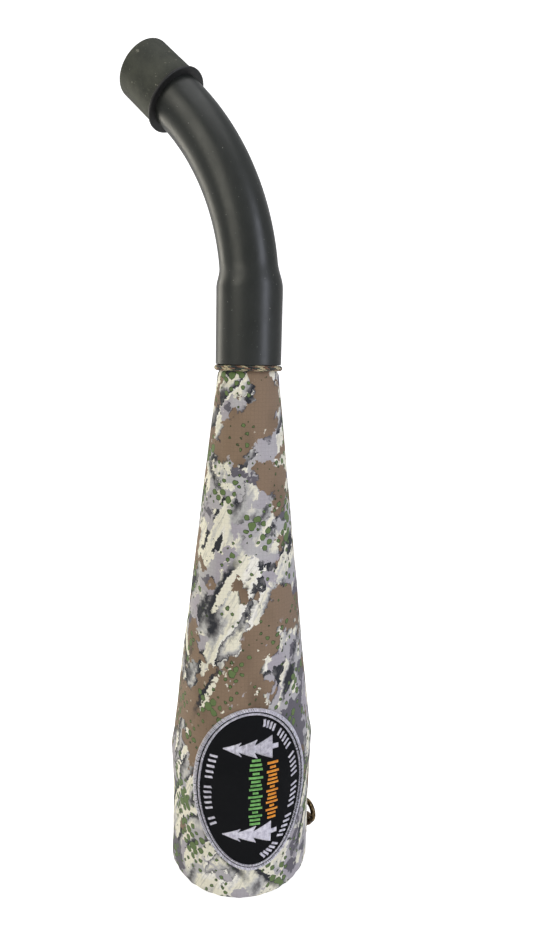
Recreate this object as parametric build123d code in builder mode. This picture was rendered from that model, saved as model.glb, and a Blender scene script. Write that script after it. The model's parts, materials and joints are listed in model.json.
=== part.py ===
from build123d import *
import os
from math import atan2, cos, degrees, pi, radians, sin

# Breath-blown bugle tube for calling elk: a bat-shaped bell in a fitted fabric cover, with a bent
# neck pushed on its spigot and a rubber mouth cuff on the neck. Millimetres, +Z up along the bell.
# The origin is the centre of the bell's rim, which it stands on. Angles round the bell are counted
# from the front (-Y) towards the right (+X).

# Bell and cover, as the cover's outer face
BARREL_R = 49.6
BARREL_TOP_Z = 70.0
RIDGE_R = 50.7
RIDGE_Z = 100.0
SHOULDER_R = 49.0
SHOULDER_Z = 108.0
CONE_TOP_R = 20.1
CONE_TOP_Z = 359.0
SHOULDER_ROUND = 25.0
RIM_FLAT_R = 38.0
RIM_H = 8.0

COVER_T = 1.2
BELL_GAP = 0.1
BELL_WALL = 2.2
BELL_LIP_R = 36.0
SPIGOT_R = 17.9
SPIGOT_FOOT_Z = 360.0
SPIGOT_TOP_Z = 404.0
SPIGOT_CHAMFER = 0.5
COVER_TOP_Z = 365.4
COVER_TOP_T = 0.8
COVER_NECK_Z = 361.0
COVER_NECK_IN_Z = 360.0

# Turned-in hem inside the bell's mouth
MOUTH_R = 34.6
HEM_Z = 9.0
HEM_W = 3.6
HEM_H = 4.8
HEM_ROUND = 1.0
ELASTIC_R = 1.1

# Lapped seam down the back
SEAM_ANGLE = 180.0
SEAM_W = 7.0
SEAM_T = 0.6
SEAM_LOW_Z = 11.0
SEAM_HIGH_Z = 349.0
STITCH_PITCH = 6.5
STITCH_L = 4.2
STITCH_W = 0.6
STITCH_H = 0.4
STITCH_ROW_X = 2.2
STITCH_LIFT = 0.2

# Braided cord tied round the top of the cover
CORD_R = 1.75
CORD_RING_R = 20.75
CORD_Z = 363.0
KNOT_R = 2.6
KNOT_L = 10.0
KNOT_Y = 26.3
KNOT_Z = 362.0
KNOT_END_ROUND = 1.8
KNOT_WRAP_R = 1.4
KNOT_WRAP_RING_R = 2.2
TAIL_SPREAD = 2.6
TAIL_START_Y = 26.5
TAIL_START_Z = 358.2
TAIL_START_LEAN = 0.3
TAIL_END_SPREAD = 9.0
TAIL_END_Z = 322.0
TAIL_END_Y = 29.5
TAIL_END_LEAN = 0.06
TAIL_END_SPLAY = 0.1
TIP_R = 1.95
TIP_L = 4.0
TIP_ROUND = 0.8

# Oval patch on the front of the barrel
PATCH_ANGLE = 11.2
PATCH_TILT = 1.2
PATCH_Z = 85.6
PATCH_HALF_W = 38.2
PATCH_HALF_H = 58.1
PATCH_LIFT = 0.1
BACKING_T = 1.0
BORDER_W = 1.8
BORDER_T = 1.6
INNER_RING_OUT = 2.5
INNER_RING_IN = 3.9
THREAD_T = 0.5
BAND_LOW_Z = 20.0
PATCH_REACH = 60.0

TREE_Y = 31.0
TREE_BASE_X = 13.0
TREE_TIER_X = 10.5
TREE_TIER_L = 12.5
TREE_TIER_TAPER = 0.2
TREE_NOTCH = 0.3
TREE_TIERS = 3
TREE_HALF_W = 8.0
TREE_TRUNK_W = 3.4
TREE_TRUNK_L = 4.0

WAVE_PITCH = 2.9
WAVE_BAR_W = 1.7
WAVE_STEP = 1.9
WAVE_START = 0.6
GREEN_X = 1.5
GREEN_BARS = 17
GREEN_MIN_L = 3.4
GREEN_SWING = 6.2
ORANGE_X = 13.0
ORANGE_BARS = 15
ORANGE_MIN_L = 3.0
ORANGE_SWING = 5.4

DASH_INSET = 8.6
DASH_L = 4.8
DASH_W = 1.6
DASH_SLANT = 18.0
DASH_PITCH = 3.1
LEFT_DASH_FROM = 148.0
LEFT_DASH_TO = 212.0
RIGHT_DASH_FROM = -78.0
RIGHT_DASH_TO = 78.0
DASH_GROUP = 6

# Webbing tab and metal ring, low on the right side
RING_ANGLE = 107.0
RING_FACING = 122.0
RING_WIRE_R = 2.0
RING_R = 7.2
TAB_W = 5.4
TAB_T = 1.0
TAB_LOW_Z = 8.0
TAB_LOOP_Z = 18.0
TAB_CHANNEL_R = 3.25
TAB_SEAT_H = 40.0
TACK_COUNT = 4
TACK_PITCH = 1.5
TACK_INSET = 1.2
TACK_L = 4.2

# Neck: belled socket, then one bend, then a straight end under the cuff
SOCKET_R = 21.6
SOCKET_BORE_R = 19.72
SOCKET_LOW_Z = 365.0
SOCKET_BORE_TOP_Z = 407.0
SOCKET_EDGE = 0.7
BEND_Z = 409.2
BEND_R = 164.7
BEND_DEG = 48.0
BEND_HEADING = 156.1
HOSE_LOW_R = 19.15
HOSE_HIGH_R = 17.9
HOSE_WALL = 2.1
SHOULDER_START_DEG = 1.5
SHOULDER_END_DEG = 6.6
SHOULDER_SECTIONS = 5

SLEEVE_LOW_Z = 370.0
SLEEVE_HIGH_Z = 400.0
SLEEVE_CHAMFER = 0.4
RUNNING_GAP = 0.05

# Mouth cuff
CUFF_INSERT = 20.0
CUFF_L = 34.3
CUFF_LOW_R = 20.7
CUFF_HIGH_R = 20.4
CUFF_EDGE = 1.8
COLLAR_R = 22.6
COLLAR_T = 1.6
COLLAR_EDGE = 0.6
MOUTH_BORE_R = 16.0
MOUTH_BORE_EDGE = 1.2

os.makedirs("parts", exist_ok=True)


def save(piece, label):
    """Name a finished piece and write its STEP file."""
    piece.label = label
    export_step(piece, f"parts/{label}.step")


def outline(offset, low_z=RIM_H):
    """Vertices of the cover's outer face from the barrel to the cone's top, moved out by offset."""
    return [
        (BARREL_R + offset, low_z),
        (BARREL_R + offset, BARREL_TOP_Z),
        (RIDGE_R + offset, RIDGE_Z),
        (SHOULDER_R + offset, SHOULDER_Z),
        (CONE_TOP_R + offset, CONE_TOP_Z),
    ]


def face_band(inner, outer, low_z):
    """Closed profile, radius against height, between two offsets of the cover's outer face."""
    with BuildSketch() as band:
        with BuildLine():
            near = FilletPolyline(*outline(inner, low_z), radius=SHOULDER_ROUND)
            far = FilletPolyline(*outline(outer, low_z), radius=SHOULDER_ROUND)
            Line(near @ 0, far @ 0)
            Line(near @ 1, far @ 1)
        make_face()
    return band.sketch


def face_point(z):
    """Radius of the cover's outer face at a height, with the face's lean from vertical in degrees."""
    points = outline(0)
    for (r0, z0), (r1, z1) in zip(points, points[1:]):
        if z <= z1:
            return r0 + (r1 - r0) * (z - z0) / (z1 - z0), degrees(atan2(r0 - r1, z1 - z0))
    return points[-1][0], 0.0


def radial_plane(angle, z, radius=0.0):
    """Plane whose normal points outwards at an angle round the bell, with its y axis up."""
    a = radians(angle)
    return Plane(
        origin=(radius * sin(a), -radius * cos(a), z),
        x_dir=(cos(a), sin(a), 0),
        z_dir=(sin(a), -cos(a), 0),
    )


# ---- Bell -------------------------------------------------------------------------------------

bell_out = -COVER_T - BELL_GAP
bell_in = bell_out - BELL_WALL

with BuildPart() as bell_tube:
    with BuildSketch(Plane.XZ):
        with BuildLine():
            outer_rim = EllipticalCenterArc(
                (RIM_FLAT_R, RIM_H), BARREL_R + bell_out - RIM_FLAT_R, RIM_H + bell_out, 270, arc_size=90
            )
            inner_rim = EllipticalCenterArc(
                (RIM_FLAT_R, RIM_H), BARREL_R + bell_in - RIM_FLAT_R, RIM_H + bell_in, 270, arc_size=90
            )
            outer_side = FilletPolyline(*outline(bell_out), radius=SHOULDER_ROUND)
            inner_side = FilletPolyline(*outline(bell_in), radius=SHOULDER_ROUND)
            Polyline(
                outer_side @ 1,
                (SPIGOT_R, SPIGOT_FOOT_Z),
                (SPIGOT_R, SPIGOT_TOP_Z),
                (SPIGOT_R - BELL_WALL, SPIGOT_TOP_Z),
                (SPIGOT_R - BELL_WALL, SPIGOT_FOOT_Z),
                inner_side @ 1,
            )
            Polyline(
                outer_rim @ 0,
                (BELL_LIP_R, (outer_rim @ 0).Y),
                (BELL_LIP_R, (inner_rim @ 0).Y),
                inner_rim @ 0,
            )
        make_face()
    revolve(axis=Axis.Z)
    spigot_end = bell_tube.edges().filter_by(GeomType.CIRCLE).group_by(Axis.Z)[-1]
    chamfer(spigot_end, SPIGOT_CHAMFER)
save(bell_tube.part, "bell_tube")

with BuildPart() as grip_sleeve:
    with BuildSketch(Plane.XY.offset(SLEEVE_LOW_Z)):
        Circle(SOCKET_BORE_R - RUNNING_GAP)
        Circle(SPIGOT_R + RUNNING_GAP, mode=Mode.SUBTRACT)
    extrude(amount=SLEEVE_HIGH_Z - SLEEVE_LOW_Z)
    sleeve_edges = grip_sleeve.edges().filter_by(GeomType.CIRCLE).group_by(SortBy.RADIUS)[-1]
    chamfer(sleeve_edges, SLEEVE_CHAMFER)
save(grip_sleeve.part, "grip_sleeve")

# ---- Cover ------------------------------------------------------------------------------------

with BuildPart() as camo_cover:
    with BuildSketch(Plane.XZ):
        with BuildLine():
            outer_rim = EllipticalCenterArc(
                (RIM_FLAT_R, RIM_H), BARREL_R - RIM_FLAT_R, RIM_H, 270, arc_size=90
            )
            inner_rim = EllipticalCenterArc(
                (RIM_FLAT_R, RIM_H), BARREL_R - COVER_T - RIM_FLAT_R, RIM_H - COVER_T, 270, arc_size=90
            )
            outer_side = FilletPolyline(*outline(0), radius=SHOULDER_ROUND)
            inner_side = FilletPolyline(*outline(-COVER_T), radius=SHOULDER_ROUND)
            top_in = SPIGOT_R + BELL_GAP
            Polyline(
                outer_side @ 1,
                (top_in + COVER_TOP_T, COVER_NECK_Z),
                (top_in + COVER_TOP_T, COVER_TOP_Z),
                (top_in, COVER_TOP_Z),
                (top_in, COVER_NECK_IN_Z),
                inner_side @ 1,
            )
            Polyline(
                outer_rim @ 0,
                (MOUTH_R, 0),
                (MOUTH_R, HEM_Z),
                (MOUTH_R + COVER_T, HEM_Z),
                (MOUTH_R + COVER_T, COVER_T),
                inner_rim @ 0,
            )
        make_face()
    revolve(axis=Axis.Z)
save(camo_cover.part, "camo_cover")

with BuildPart() as rim_hem:
    with BuildSketch(Plane.XZ):
        with Locations((MOUTH_R + HEM_W / 2, HEM_Z + HEM_H / 2)):
            RectangleRounded(HEM_W, HEM_H, HEM_ROUND)
            Circle(ELASTIC_R + RUNNING_GAP, mode=Mode.SUBTRACT)
    revolve(axis=Axis.Z)
save(rim_hem.part, "rim_hem")

with BuildPart() as rim_elastic:
    with BuildSketch(Plane.XZ):
        with Locations((MOUTH_R + HEM_W / 2, HEM_Z + HEM_H / 2)):
            Circle(ELASTIC_R)
    revolve(axis=Axis.Z)
save(rim_elastic.part, "rim_elastic")

with BuildPart() as back_seam:
    with BuildSketch(Plane.XZ):
        add(face_band(PATCH_LIFT, PATCH_LIFT + SEAM_T, SEAM_LOW_Z))
    revolve(axis=Axis.Z)
    with BuildSketch(radial_plane(SEAM_ANGLE, 0)):
        with Locations((0, (SEAM_LOW_Z + SEAM_HIGH_Z) / 2)):
            Rectangle(SEAM_W, SEAM_HIGH_Z - SEAM_LOW_Z)
    extrude(amount=PATCH_REACH, mode=Mode.INTERSECT)
save(back_seam.part, "back_seam")

with BuildPart() as seam_stitches:
    stitch_count = int((SEAM_HIGH_Z - SEAM_LOW_Z) / STITCH_PITCH) - 1
    seam_face = PATCH_LIFT + SEAM_T
    for i in range(stitch_count):
        z = SEAM_LOW_Z + STITCH_PITCH * (i + 1)
        radius, lean = face_point(z)
        seat = radial_plane(SEAM_ANGLE, z, radius + seam_face + STITCH_H / 2 + STITCH_LIFT)
        for side in (-1, 1):
            with Locations(seat.location * Location((side * STITCH_ROW_X, 0, 0), (-lean, 0, 0))):
                Box(STITCH_W, STITCH_L, STITCH_H)
save(seam_stitches.part, "seam_stitches")

# ---- Cord -------------------------------------------------------------------------------------

with BuildPart() as neck_cord:
    with BuildSketch(Plane.XZ):
        with Locations((CORD_RING_R, CORD_Z)):
            Circle(CORD_R)
    revolve(axis=Axis.Z)
save(neck_cord.part, "neck_cord")

with BuildPart() as cord_knot:
    with Locations(Location((0, KNOT_Y, KNOT_Z), (0, 90, 0))):
        Cylinder(KNOT_R, KNOT_L)
    fillet(cord_knot.edges().filter_by(GeomType.CIRCLE), KNOT_END_ROUND)
    with Locations(Location((0, KNOT_Y, KNOT_Z), (0, 90, 0))):
        Torus(KNOT_WRAP_RING_R, KNOT_WRAP_R)
save(cord_knot.part, "cord_knot")

tail_ends = []
with BuildPart() as cord_tails:
    for side in (-1, 1):
        start = Vector(side * TAIL_SPREAD, TAIL_START_Y, TAIL_START_Z)
        end = Vector(side * TAIL_END_SPREAD, TAIL_END_Y, TAIL_END_Z)
        start_way = Vector(0, TAIL_START_LEAN, -1)
        end_way = Vector(side * TAIL_END_SPLAY, TAIL_END_LEAN, -1)
        with BuildLine():
            tail = Spline(start, end, tangents=(start_way, end_way))
        with BuildSketch(Plane(origin=tail @ 0, z_dir=tail % 0)):
            Circle(CORD_R)
        sweep(path=tail)
        tail_ends.append(Plane(origin=tail @ 1, z_dir=tail % 1))
save(cord_tails.part, "cord_tails")

with BuildPart() as cord_tips:
    for plane in tail_ends:
        with BuildSketch(plane.offset(RUNNING_GAP)):
            Circle(TIP_R)
        extrude(amount=TIP_L)
    fillet(cord_tips.edges().filter_by(GeomType.CIRCLE), TIP_ROUND)
save(cord_tips.part, "cord_tips")

# ---- Patch ------------------------------------------------------------------------------------

patch_plane = radial_plane(PATCH_ANGLE, PATCH_Z)
thread_low = PATCH_LIFT + BACKING_T
thread_high = thread_low + THREAD_T


def oval(inset):
    """The patch's oval, drawn smaller by inset."""
    with BuildSketch() as shape:
        Ellipse(PATCH_HALF_W - inset, PATCH_HALF_H - inset, rotation=PATCH_TILT)
    return shape.sketch


def oval_ring(outer_inset, inner_inset):
    """The band between two sizes of the patch's oval."""
    with BuildSketch() as shape:
        add(oval(outer_inset))
        add(oval(inner_inset), mode=Mode.SUBTRACT)
    return shape.sketch


def wave_bars(x, count, shortest, swing):
    """A column of cross bars whose lengths rise and fall like a sound wave."""
    with BuildSketch() as shape:
        for i in range(count):
            y = (i - (count - 1) / 2) * WAVE_PITCH
            with Locations((x, y)):
                Rectangle(shortest + swing * abs(sin(WAVE_STEP * i + WAVE_START)), WAVE_BAR_W)
    return shape.sketch


def dashes(start, stop):
    """Slanted dashes along an inner oval, in groups with a gap between them."""
    half_w = PATCH_HALF_W - DASH_INSET
    half_h = PATCH_HALF_H - DASH_INSET
    count = int(radians(stop - start) * (half_w + half_h) / 2 / DASH_PITCH)
    with BuildSketch() as shape:
        for i in range(count):
            if i % DASH_GROUP < DASH_GROUP - 1:
                t = radians(start + (stop - start) * (i + 0.5) / count)
                outward = degrees(atan2(half_w * sin(t), half_h * cos(t)))
                with Locations(Location((half_w * cos(t), half_h * sin(t)), outward + DASH_SLANT)):
                    Rectangle(DASH_L, DASH_W)
    return shape.sketch


def fir_tree(y):
    """A plain fir lying on its side, its tip to the left."""
    points = [(TREE_BASE_X + TREE_TRUNK_L, TREE_TRUNK_W / 2), (TREE_BASE_X, TREE_TRUNK_W / 2)]
    for i in range(TREE_TIERS):
        half_w = TREE_HALF_W * (1 - TREE_TIER_TAPER * i)
        base_x = TREE_BASE_X - TREE_TIER_X * i
        points.append((base_x, half_w))
        points.append((base_x - TREE_TIER_L, half_w * TREE_NOTCH))
    points[-1] = (points[-1][0], 0)
    mirrored = [(x, -half_w) for x, half_w in reversed(points[:-1])]
    with BuildSketch() as shape:
        with BuildLine():
            Polyline(*[(x, y + half_w) for x, half_w in points + mirrored], close=True)
        make_face()
    return shape.sketch


def patch_piece(label, low, high, shape):
    """Cut a layer of the patch, between two heights off the cover, to a shape in the patch plane."""
    with BuildPart() as piece:
        with BuildSketch(Plane.XZ):
            add(face_band(low, high, BAND_LOW_Z))
        revolve(axis=Axis.Z)
        with BuildSketch(patch_plane):
            add(shape)
        extrude(amount=PATCH_REACH, mode=Mode.INTERSECT)
    save(piece.part, label)


trees = fir_tree(TREE_Y) + fir_tree(-TREE_Y)
green_wave = wave_bars(GREEN_X, GREEN_BARS, GREEN_MIN_L, GREEN_SWING)
orange_wave = wave_bars(ORANGE_X, ORANGE_BARS, ORANGE_MIN_L, ORANGE_SWING)
edge_dashes = dashes(LEFT_DASH_FROM, LEFT_DASH_TO) + dashes(RIGHT_DASH_FROM, RIGHT_DASH_TO)

patch_piece("patch_backing", PATCH_LIFT, thread_low, oval(BORDER_W + RUNNING_GAP))
patch_piece("patch_border", PATCH_LIFT, PATCH_LIFT + BORDER_T, oval_ring(0, BORDER_W))
patch_piece("patch_inner_ring", thread_low, thread_high, oval_ring(INNER_RING_OUT, INNER_RING_IN))
patch_piece("patch_trees", thread_low, thread_high, trees)
patch_piece("patch_green_wave", thread_low, thread_high, green_wave)
patch_piece("patch_orange_wave", thread_low, thread_high, orange_wave)
patch_piece("patch_dashes", thread_low, thread_high, edge_dashes)

# ---- Tab and ring -----------------------------------------------------------------------------

channel_out = TAB_CHANNEL_R + TAB_T
seat_r = BARREL_R + PATCH_LIFT
hinge_r = seat_r + channel_out
place_a = radians(RING_ANGLE)
facing_a = radians(RING_FACING)
hinge_x = hinge_r * sin(place_a)
hinge_y = -hinge_r * cos(place_a)
across = Vector(cos(facing_a), sin(facing_a), 0)
outward = Vector(sin(facing_a), -cos(facing_a), 0)
tab_side = Plane(origin=(hinge_x, hinge_y, 0), x_dir=outward, z_dir=-across)
tab_face = Plane(origin=(hinge_x, hinge_y, 0), x_dir=across, z_dir=outward)
strap_out = TAB_T - TAB_CHANNEL_R
strap_in = -channel_out - TAB_T

with BuildPart() as ring_tab:
    with BuildSketch(tab_side):
        with Locations((0, TAB_LOOP_Z)):
            Circle(channel_out)
        with Locations(((strap_in + strap_out) / 2, (TAB_LOW_Z + TAB_LOOP_Z) / 2)):
            Rectangle(strap_out - strap_in, TAB_LOOP_Z - TAB_LOW_Z)
        with Locations((0, TAB_LOOP_Z)):
            Circle(TAB_CHANNEL_R, mode=Mode.SUBTRACT)
    extrude(amount=TAB_W / 2, both=True)
    with Locations((0, 0, TAB_LOW_Z + TAB_SEAT_H / 4)):
        Cylinder(seat_r, TAB_SEAT_H, mode=Mode.SUBTRACT)
save(ring_tab.part, "ring_tab")

with BuildPart() as tab_stitches:
    for i in range(TACK_COUNT):
        tack = Location((0, TAB_LOW_Z + TACK_INSET + TACK_PITCH * i, strap_out + STITCH_H / 2))
        with Locations(tab_face.location * tack):
            Box(TACK_L, STITCH_W, STITCH_H)
save(tab_stitches.part, "tab_stitches")

with BuildPart() as carry_ring:
    with Locations(tab_face.location * Location((0, TAB_LOOP_Z + RING_R, 0))):
        Torus(RING_R, RING_WIRE_R)
save(carry_ring.part, "carry_ring")

# ---- Neck -------------------------------------------------------------------------------------

heading = radians(BEND_HEADING)
bend_dir = Vector(cos(heading), sin(heading), 0)
bend_side = Plane(origin=(0, 0, BEND_Z), x_dir=bend_dir, z_dir=bend_dir.cross(Vector(0, 0, 1)))


def bend_plane(angle):
    """Plane square to the neck's centre line at an angle round the bend."""
    a = radians(angle)
    up = Vector(0, 0, 1)
    return Plane(
        origin=Vector(0, 0, BEND_Z) + bend_dir * BEND_R * (1 - cos(a)) + up * BEND_R * sin(a),
        x_dir=bend_dir * cos(a) - up * sin(a),
        z_dir=bend_dir * sin(a) + up * cos(a),
    )


def hose_radius(angle):
    """Outer radius of the neck, which narrows evenly round the bend."""
    return HOSE_LOW_R + (HOSE_HIGH_R - HOSE_LOW_R) * angle / BEND_DEG


def shoulder_radius(share):
    """Outer radius a share of the way up the shoulder, a smooth cosine step from socket to neck."""
    end_r = hose_radius(SHOULDER_END_DEG)
    return end_r + (SOCKET_R - end_r) * (1 + cos(pi * share)) / 2


bend_end = bend_plane(BEND_DEG)
cuff_axis = Axis(bend_end.origin, bend_end.z_dir)

with BuildPart() as neck_tube:
    with BuildSketch(Plane.XY.offset(SOCKET_LOW_Z)):
        Circle(SOCKET_R)
    extrude(amount=BEND_Z - SOCKET_LOW_Z)
    with BuildSketch(bend_plane(0)):
        Circle(SOCKET_R)
    with BuildSketch(bend_plane(SHOULDER_START_DEG)):
        Circle(SOCKET_R)
    loft()
    for i in range(SHOULDER_SECTIONS + 1):
        share = i / SHOULDER_SECTIONS
        angle = SHOULDER_START_DEG + (SHOULDER_END_DEG - SHOULDER_START_DEG) * share
        with BuildSketch(bend_plane(angle)):
            Circle(shoulder_radius(share))
    loft()
    with BuildLine(bend_side):
        bend = JernArc((0, 0), (0, 1), BEND_R, -BEND_DEG)
    with BuildLine(bend_side):
        turn = radians(SHOULDER_END_DEG)
        upper_bend = JernArc(
            (BEND_R * (1 - cos(turn)), BEND_R * sin(turn)),
            (sin(turn), cos(turn)),
            BEND_R,
            -(BEND_DEG - SHOULDER_END_DEG),
        )
    for angle in (SHOULDER_END_DEG, BEND_DEG):
        with BuildSketch(bend_plane(angle)):
            Circle(hose_radius(angle))
    sweep(path=upper_bend, multisection=True)
    with BuildSketch(bend_end):
        Circle(HOSE_HIGH_R)
    extrude(amount=CUFF_INSERT)
    for angle in (0, BEND_DEG):
        with BuildSketch(bend_plane(angle)):
            Circle(hose_radius(angle) - HOSE_WALL)
    sweep(path=bend, multisection=True, mode=Mode.SUBTRACT)
    with BuildSketch(bend_end):
        Circle(HOSE_HIGH_R - HOSE_WALL)
    extrude(amount=CUFF_INSERT, mode=Mode.SUBTRACT)
    with BuildSketch(Plane.XY.offset(SOCKET_LOW_Z)):
        Circle(SOCKET_BORE_R)
    extrude(amount=SOCKET_BORE_TOP_Z - SOCKET_LOW_Z, mode=Mode.SUBTRACT)
    with BuildSketch(Plane.XY.offset(SOCKET_BORE_TOP_Z)):
        Circle(HOSE_LOW_R - HOSE_WALL)
    extrude(amount=BEND_Z - SOCKET_BORE_TOP_Z, mode=Mode.SUBTRACT)
    socket_rim = neck_tube.edges().filter_by(GeomType.CIRCLE).group_by(Axis.Z)[0]
    fillet(socket_rim, SOCKET_EDGE)
save(neck_tube.part, "neck_tube")

# ---- Mouth cuff -------------------------------------------------------------------------------

with BuildPart() as mouth_cuff:
    with BuildSketch(bend_end.offset(COLLAR_T)):
        Circle(CUFF_LOW_R)
    with BuildSketch(bend_end.offset(CUFF_L)):
        Circle(CUFF_HIGH_R)
    loft()
    fillet(mouth_cuff.edges().filter_by(GeomType.CIRCLE).sort_by(cuff_axis)[-1], CUFF_EDGE)
    with BuildSketch(bend_end):
        Circle(HOSE_HIGH_R + RUNNING_GAP)
    extrude(amount=CUFF_INSERT + RUNNING_GAP, mode=Mode.SUBTRACT)
    with BuildSketch(bend_end):
        Circle(MOUTH_BORE_R)
    extrude(amount=CUFF_L, mode=Mode.SUBTRACT)
    lip_edges = mouth_cuff.edges().filter_by(GeomType.CIRCLE).group_by(cuff_axis)[-1]
    fillet(lip_edges.sort_by(SortBy.RADIUS)[0], MOUTH_BORE_EDGE)
save(mouth_cuff.part, "mouth_cuff")

with BuildPart() as cuff_collar:
    with BuildSketch(bend_end):
        Circle(COLLAR_R)
        Circle(HOSE_HIGH_R + RUNNING_GAP, mode=Mode.SUBTRACT)
    extrude(amount=COLLAR_T)
    collar_edges = cuff_collar.edges().filter_by(GeomType.CIRCLE).group_by(SortBy.RADIUS)[-1]
    fillet(collar_edges, COLLAR_EDGE)
save(cuff_collar.part, "cuff_collar")
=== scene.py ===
import math
import json

import bmesh
import bpy
import numpy as np
from mathutils import Matrix, Vector
from mathutils.bvhtree import BVHTree


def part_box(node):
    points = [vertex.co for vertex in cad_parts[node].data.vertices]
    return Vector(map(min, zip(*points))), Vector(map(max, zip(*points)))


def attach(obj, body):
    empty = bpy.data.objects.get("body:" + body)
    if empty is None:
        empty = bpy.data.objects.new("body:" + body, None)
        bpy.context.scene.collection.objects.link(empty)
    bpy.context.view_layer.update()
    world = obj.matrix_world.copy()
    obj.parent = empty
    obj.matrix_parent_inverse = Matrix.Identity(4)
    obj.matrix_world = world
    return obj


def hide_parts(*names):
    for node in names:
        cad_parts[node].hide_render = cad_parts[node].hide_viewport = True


# A breath-blown bugle tube: a bat-shaped bell in a camouflage cover, a bent neck and a rubber mouth
# cuff. Every length here is in metres unless its name ends in _MM. Angles round the bell are
# counted from the front (-Y) towards the right (+X).

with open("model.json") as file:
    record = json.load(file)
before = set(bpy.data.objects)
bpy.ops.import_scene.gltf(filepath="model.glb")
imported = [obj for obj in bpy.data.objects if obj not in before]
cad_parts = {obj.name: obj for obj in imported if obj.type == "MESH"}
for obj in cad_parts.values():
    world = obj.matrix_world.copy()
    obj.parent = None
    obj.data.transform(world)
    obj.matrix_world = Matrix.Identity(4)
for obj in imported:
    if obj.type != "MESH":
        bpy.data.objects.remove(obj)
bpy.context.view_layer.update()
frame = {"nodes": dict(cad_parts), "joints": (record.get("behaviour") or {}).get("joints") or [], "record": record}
RECORD = frame["record"]
JOINTS = {joint["name"]: joint for joint in frame["joints"]}
BODIES = {node: body for body, nodes in RECORD["behaviour"]["bodies"].items() for node in nodes}

MM = 0.001
UP = np.array([0.0, 0.0, 1.0])


# ---- Measuring the frame ----


def node_points(node):
    """The CAD node's vertices as an array."""
    mesh = frame["nodes"][node].data
    points = np.zeros(len(mesh.vertices) * 3)
    mesh.vertices.foreach_get("co", points)
    return points.reshape(-1, 3)


def node_tree(node):
    """The CAD node's faces, ready for casting rays at."""
    mesh = frame["nodes"][node].data
    corners = [vertex.co.copy() for vertex in mesh.vertices]
    return BVHTree.FromPolygons(corners, [tuple(polygon.vertices) for polygon in mesh.polygons])


def outer_profile(node, rows=500, casts=9):
    """Heights up a turned CAD node and its outermost radius at each."""
    low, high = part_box(node)
    tree = node_tree(node)
    heights = np.linspace(low.z + 1e-5, high.z - 1e-5, rows)
    radii = np.zeros(rows)
    for turn in np.linspace(0.1, 2 * math.pi, casts, endpoint=False):
        way = Vector((math.cos(turn), math.sin(turn), 0))
        for i, z in enumerate(heights):
            hit = tree.ray_cast(Vector((0, 0, z)) + way * 2 * high.x, -way)[0]
            if hit is not None:
                radii[i] = max(radii[i], math.hypot(hit.x, hit.y))
    return heights, radii


def radii_near(node, origin, axis, low, high):
    """Least and greatest distance from an axis, of the vertices between two stations along it."""
    offset = node_points(node) - origin
    along = offset @ axis
    away = np.linalg.norm(offset - np.outer(along, axis), axis=1)
    chosen = away[(along >= low) & (along <= high)]
    return chosen.min(), chosen.max()


PROFILE_Z, PROFILE_R = outer_profile("camo_cover")
COVER_LOW, COVER_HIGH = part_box("camo_cover")
PATCH_LOW, PATCH_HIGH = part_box("patch_border")


def cover_radius(z):
    """Radius of the cover's outer face at a height."""
    return np.interp(z, PROFILE_Z, PROFILE_R)


def around(angle, radius, z):
    """Point at an angle round the bell, a distance from its axis and a height."""
    a = np.radians(angle)
    return np.stack(np.broadcast_arrays(radius * np.sin(a), -radius * np.cos(a), z), axis=-1)


# ---- Meshes ----


def link(name, data):
    """A new object in the scene."""
    made = bpy.data.objects.new(name, data)
    bpy.context.scene.collection.objects.link(made)
    return made


def make_piece(name, node, points, faces, materials, uvs=None, slots=()):
    """A smooth-shaded piece that stands for a CAD node and rides on its body."""
    mesh = bpy.data.meshes.new(name)
    mesh.from_pydata([tuple(p) for p in points], [], faces)
    if uvs is not None:
        layer = mesh.uv_layers.new(name="cloth")
        corners = np.zeros(len(mesh.loops), np.int32)
        mesh.loops.foreach_get("vertex_index", corners)
        layer.data.foreach_set("uv", np.asarray(uvs, np.float32)[corners].ravel())
    mesh.update()
    mesh.validate()
    mesh.shade_smooth()
    for material in materials:
        mesh.materials.append(material)
    if slots:
        mesh.polygons.foreach_set("material_index", np.asarray(slots, np.int32))
    piece = link(name, mesh)
    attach(piece, BODIES[node])
    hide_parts(node)
    return piece


def grid_faces(rows, columns, wrap_columns=True, wrap_rows=False, first=0):
    """Quads over a grid of points stored row by row."""
    index = first + np.arange(rows * columns).reshape(rows, columns)
    if wrap_columns:
        index = np.hstack([index, index[:, :1]])
    if wrap_rows:
        index = np.vstack([index, index[:1]])
    corners = (index[:-1, :-1], index[:-1, 1:], index[1:, 1:], index[1:, :-1])
    return [tuple(face) for face in np.stack(corners, axis=-1).reshape(-1, 4).tolist()]


def cap_faces(rows, columns, first=0):
    """The two end faces of a tube whose points are stored row by row."""
    last = first + (rows - 1) * columns
    return [tuple(range(first + columns - 1, first - 1, -1)), tuple(range(last, last + columns))]


def unit(vectors):
    """A vector, or each row of an array of them, scaled to a length of one."""
    return vectors / np.linalg.norm(vectors, axis=-1, keepdims=True)


def path_frames(path, closed=False):
    """Tangent and two normals at each point of a path, carried along it without twist."""
    if closed:
        tangents = unit(np.roll(path, -1, axis=0) - np.roll(path, 1, axis=0))
    else:
        tangents = unit(np.gradient(path, axis=0))
    start = np.cross(tangents[0], UP)
    if np.linalg.norm(start) < 0.2:
        start = np.cross(tangents[0], (1.0, 0.0, 0.0))
    first = [unit(start)]
    for tangent in tangents[1:]:
        first.append(unit(first[-1] - tangent * (first[-1] @ tangent)))
    return tangents, np.array(first), np.cross(tangents, first)


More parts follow.
